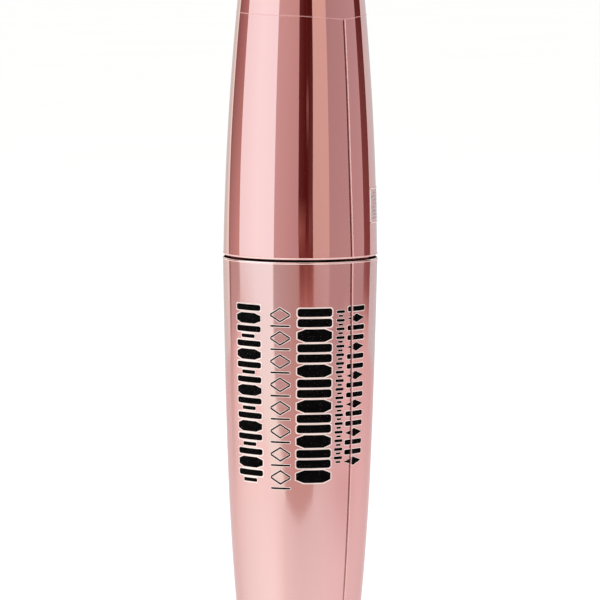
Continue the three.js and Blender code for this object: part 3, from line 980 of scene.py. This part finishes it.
# Cards from the left behind the tube, past the front, to the right behind it: the two edges, then the
# colours along each edge from low to high.
CARDS = [
    (LEFT_END, LEFT_MID, [(0, grey(0.62))], LEFT_SKY),
    (LEFT_MID, ROSE_LEFT, LEFT_SKY, [(0, (0.96, 1.0, 0.95)), (44, (1.0, 1.32, 1.24))]),
    (
        ROSE_LEFT,
        ROSE_LINE,
        [
            (0, (0.72, 0.60, 0.60)), (9, (0.34, 0.24, 0.24)), (25, (0.24, 0.16, 0.16)),
            (44, (0.40, 0.31, 0.31)), (75, (0.28, 0.18, 0.17)),
        ],
        [
            (0, (0.73, 0.61, 0.61)), (9, (0.40, 0.29, 0.29)), (25, (0.32, 0.23, 0.23)),
            (44, (0.45, 0.35, 0.35)), (75, (0.36, 0.25, 0.24)), (110, (0.31, 0.19, 0.19)),
        ],
    ),
    (
        ROSE_LINE,
        ROSE_RIGHT,
        [
            (0, (0.74, 0.62, 0.61)), (9, (0.62, 0.53, 0.53)), (25, (0.54, 0.48, 0.48)),
            (44, (0.47, 0.36, 0.36)), (75, (0.38, 0.28, 0.27)), (110, (0.33, 0.20, 0.21)),
        ],
        [
            (-25, (0.80, 0.67, 0.66)), (0, (0.76, 0.64, 0.63)), (9, (0.64, 0.58, 0.58)),
            (25, (0.60, 0.57, 0.57)), (44, (0.66, 0.59, 0.58)), (110, (0.50, 0.38, 0.37)),
        ],
    ),
    (
        ROSE_RIGHT,
        WHITE_MID,
        [
            (3, (0.82, 0.84, 0.80)), (9, (0.84, 0.90, 0.88)), (14, (0.94, 1.18, 1.20)),
            (44, (1.04, 1.55, 1.68)),
        ],
        WHITE_MIDDLE,
    ),
    (
        WHITE_MID,
        WHITE_RIGHT,
        WHITE_MIDDLE,
        [(-40, (1.10, 1.34, 1.24)), (44, (1.10, 1.72, 1.92)), (300, (1.06, 1.62, 1.80))],
    ),
    (
        WHITE_RIGHT,
        BLACK_LEFT,
        [(-50, TONGUE), (10, (0.60, 0.66, 0.70)), (44, (0.68, 0.72, 0.75))],
        [
            (-50, TONGUE), (10, (0.53, 0.45, 0.42)), (44, (0.57, 0.54, 0.58)),
            (176, (0.62, 0.62, 0.63)),
        ],
    ),
    (
        BLACK_LEFT,
        BLACK_SPLIT_1,
        BOTTLE_DARK + [
            (14, (0.22, 0.08, 0.07)), (25, (0.18, 0.06, 0.05)), (44, (0.20, 0.08, 0.07)),
            (58, (0.34, 0.20, 0.18)), (75, (0.125, 0.045, 0.045)), (300, (0.16, 0.07, 0.07)),
        ],
        BOTTLE_DARK + [(25, (0.18, 0.06, 0.05)), (58, (0.24, 0.10, 0.09)), (75, DEEP)],
    ),
    (
        BLACK_SPLIT_1,
        BLACK_SPLIT_2,
        [
            (-25, TONGUE), (-4, (0.62, 0.42, 0.38)), (3, (0.50, 0.25, 0.22)),
            (9, (0.30, 0.12, 0.10)), (44, (0.19, 0.065, 0.06)), (58, (0.11, 0.025, 0.025)),
            (75, (0.085, 0.014, 0.015)), (98, (0.09, 0.025, 0.025)), (122, (0.26, 0.17, 0.16)),
            (138, (0.11, 0.04, 0.04)),
        ],
        BOTTLE_DARK + [
            (14, (0.20, 0.08, 0.06)), (44, (0.19, 0.065, 0.06)), (75, (0.12, 0.04, 0.04)),
            (98, (0.10, 0.03, 0.03)), (122, (0.24, 0.15, 0.14)), (138, DEEP),
        ],
    ),
    (
        BLACK_SPLIT_2,
        BLACK_RIGHT,
        BOTTLE_DARK + [
            (44, (0.20, 0.08, 0.07)), (58, (0.22, 0.12, 0.12)), (75, (0.14, 0.05, 0.05)),
            (110, (0.10, 0.03, 0.03)), (176, DEEP),
        ],
        [
            (-25, TONGUE), (-4, (0.56, 0.38, 0.36)), (3, (0.46, 0.22, 0.19)),
            (14, (0.24, 0.11, 0.09)), (44, (0.16, 0.05, 0.04)), (58, (0.20, 0.09, 0.08)),
            (75, (0.15, 0.06, 0.06)), (110, (0.14, 0.06, 0.06)), (176, (0.08, 0.02, 0.02)),
        ],
    ),
    (
        BLACK_RIGHT,
        PEACH_RIGHT,
        [
            (-90, grey(0.95)), (-50, grey(0.80)), (0, (0.60, 0.50, 0.50)),
            (44, (0.68, 0.76, 0.72)), (176, (0.74, 0.84, 0.78)),
        ],
        [
            (-90, grey(0.96)), (-50, grey(0.86)), (0, (0.64, 0.59, 0.61)),
            (44, (0.72, 0.78, 0.76)), (176, (0.78, 0.84, 0.80)),
        ],
    ),
    (
        PEACH_RIGHT,
        MAUVE_RIGHT,
        [
            (-50, grey(0.95)), (-5, (0.56, 0.47, 0.49)), (44, (0.52, 0.54, 0.57)),
            (176, (0.48, 0.49, 0.53)),
        ],
        [
            (-50, grey(0.90)), (-20, grey(0.72)), (0, (0.50, 0.41, 0.42)),
            (44, (0.58, 0.60, 0.64)), (176, (0.54, 0.58, 0.66)),
        ],
    ),
    (
        MAUVE_RIGHT,
        DARK_RIGHT,
        [
            (-4, (0.80, 0.70, 0.70)), (6, (0.78, 0.66, 0.64)), (9, (0.54, 0.32, 0.31)),
            (14, (0.32, 0.15, 0.15)), (44, (0.26, 0.12, 0.12)), (110, (0.19, 0.08, 0.09)),
            (138, (0.15, 0.05, 0.05)),
        ],
        [
            (-4, (0.80, 0.72, 0.72)), (6, (0.76, 0.64, 0.60)), (9, (0.50, 0.28, 0.28)),
            (14, (0.25, 0.11, 0.11)), (110, (0.14, 0.06, 0.06)), (138, (0.08, 0.02, 0.02)),
        ],
    ),
    (
        DARK_RIGHT,
        RIGHT_MID,
        [(0, (0.70, 0.84, 0.86)), (176, (0.72, 1.02, 1.06))],
        RIGHT_SKY,
    ),
    (RIGHT_MID, RIGHT_END, RIGHT_SKY, [(0, grey(0.52))]),
]
for number, (left, right, left_colours, right_colours) in enumerate(CARDS):
    widest = max(along(right, h) - along(left, h) for h in CARD_HEIGHTS)
    steps = max(2, math.ceil(widest / CARD_STEP))
    grid, colours = [], []
    for h in CARD_HEIGHTS:
        start, end = along(left, h), along(right, h)
        first, last = along(left_colours, h), along(right_colours, h)
        shares = [i / steps for i in range(steps + 1)]
        grid.append([spot(CARD_RADIUS, start + (end - start) * t, h) for t in shares])
        colours.append([tuple(p + (q - p) * t for p, q in zip(first, last)) for t in shares])
    card(f"card_{number}", grid, colours)

# The table top as the plating sees it, brightest to the left: how far it reaches, by direction.
TABLE_EDGE = [
    (-75, 460), (-60, 300), (-45, 210), (-20, 172), (-10, 155), (0, 149),
    (10, 155), (20, 170), (45, 210), (60, 300), (71, 460),
]
TABLE_START = 5.2
TABLE_LIFT = 0.05
TABLE_LIGHT = [
    (-180, (0.80, 0.68, 0.68)),
    (-147, (0.87, 0.74, 0.75)),
    (-128, (0.94, 0.85, 0.82)),
    (-114, (1.03, 0.99, 0.99)),
    (-92, (1.11, 1.15, 1.13)),
    (-66, (1.17, 1.23, 1.22)),
    (-43, (1.20, 1.25, 1.25)),
    (-30, (1.14, 1.13, 1.13)),
    (-21, (1.06, 1.01, 1.00)),
    (0, (1.00, 0.95, 0.95)),
    (36, (1.01, 0.96, 0.96)),
    (60, (1.02, 0.93, 0.95)),
    (98, (0.97, 0.85, 0.86)),
    (123, (0.92, 0.78, 0.79)),
    (141, (0.84, 0.68, 0.69)),
    (180, (0.80, 0.65, 0.65)),
]
# How much of that is left at its far end, and the share of the way out where the loss begins
TABLE_FAR = [(-136, 0.9), (-133, 0.72), (-124, 0.72), (-120, 0.88), (-101, 0.95), (180, 0.88)]
FADE_START = 0.4
TABLE_RINGS = (0.0, 0.2, 0.25, 0.3, 0.37, 0.45, 0.53, 0.63, 0.76, 1.0)
# A darker patch of it to the right: how strong by direction and by distance, and what it takes off
PATCH_TURN = [(30, 0.0), (42, 0.3), (52, 0.5), (64, 1.0), (80, 1.0), (95, 0.5), (108, 0.0)]
PATCH_REACH = [(120, 0.0), (142, 0.35), (172, 0.75), (212, 1.0), (245, 0.4), (290, 0.15), (350, 0.0)]
PATCH = (0.17, 0.25, 0.25)


def table_reach(far, share):
    """The distance from the axis at a share of the way out to the far edge."""
    return TABLE_START + (far - TABLE_START) * share


def table_colour(direction, far, share):
    left = 1 - (1 - along(TABLE_FAR, direction)) * max(0.0, share - FADE_START) / (1 - FADE_START)
    patch = along(PATCH_TURN, direction) * along(PATCH_REACH, table_reach(far, share))
    return tuple(c * left * (1 - p * patch) for c, p in zip(along(TABLE_LIGHT, direction), PATCH))


turns = [CARD_STEP * i - 180 for i in range(round(360 / CARD_STEP) + 1)]
rays = [(a, along(TABLE_EDGE, a)) for a in turns]
card(
    "table_light",
    [[spot(table_reach(far, share), a, TABLE_LIFT) for a, far in rays] for share in TABLE_RINGS],
    [[table_colour(a, far, share) for a, far in rays] for share in TABLE_RINGS],
)

paper = Shader("pale_paper", Roughness=0.9)
paper.colour(paper.ramp(paper.noise(6, 2), (0.3, (0.93, 0.93, 0.925)), (0.7, (0.945, 0.945, 0.94))))
paper.bump(paper.noise(1200, 2), 0.05, 0.00005)
FAR = 9000.0
floor = stage_mesh(
    "floor",
    [(-FAR, -FAR, 0), (FAR, -FAR, 0), (FAR, FAR, 0), (-FAR, FAR, 0)],
    [[0, 1, 2, 3]],
    paper.material,
)
floor.visible_glossy = False

world = bpy.data.worlds.new("studio")
bpy.context.scene.world = world
world.use_nodes = True
sky = world.node_tree.nodes["Background"]
sky.inputs["Color"].default_value = (1.0, 1.0, 0.99, 1)
sky.inputs["Strength"].default_value = 1.06

lamp = bpy.data.lights.new("softbox", "AREA")
lamp.shape, lamp.size, lamp.energy = "DISK", 0.6, 3.0
softbox = bpy.data.objects.new("softbox", lamp)
softbox.location = (-0.5, -0.2, 0.7)
softbox.rotation_euler = (Vector((0, 0, 0.06)) - softbox.location).to_track_quat("-Z", "Y").to_euler()
softbox.visible_glossy = False
softbox.visible_camera = False
bpy.context.scene.collection.objects.link(softbox)

# ---------------------------------------------------------------- camera

DISTANCE = 500.0
CAMERA_HEIGHT = 108.7
AIM_HEIGHT = 62.7
SIDE_SHIFT = 0.005
ROLL = 0.247
LENS = 245.5
eye = bpy.data.cameras.new("camera")
eye.lens = LENS
eye.sensor_width = 36.0
eye.clip_start = 0.05
eye.clip_end = 30.0
camera = bpy.data.objects.new("camera", eye)
pitch = math.atan2(CAMERA_HEIGHT - AIM_HEIGHT, DISTANCE)
turn = Matrix.Rotation(math.pi / 2 - pitch, 4, "X") @ Matrix.Rotation(math.radians(ROLL), 4, "Z")
camera.matrix_world = Matrix.Translation(Vector((SIDE_SHIFT, -DISTANCE, CAMERA_HEIGHT)) * MM) @ turn
bpy.context.scene.collection.objects.link(camera)
bpy.context.scene.camera = camera
bpy.context.scene.view_settings.view_transform = "Standard"
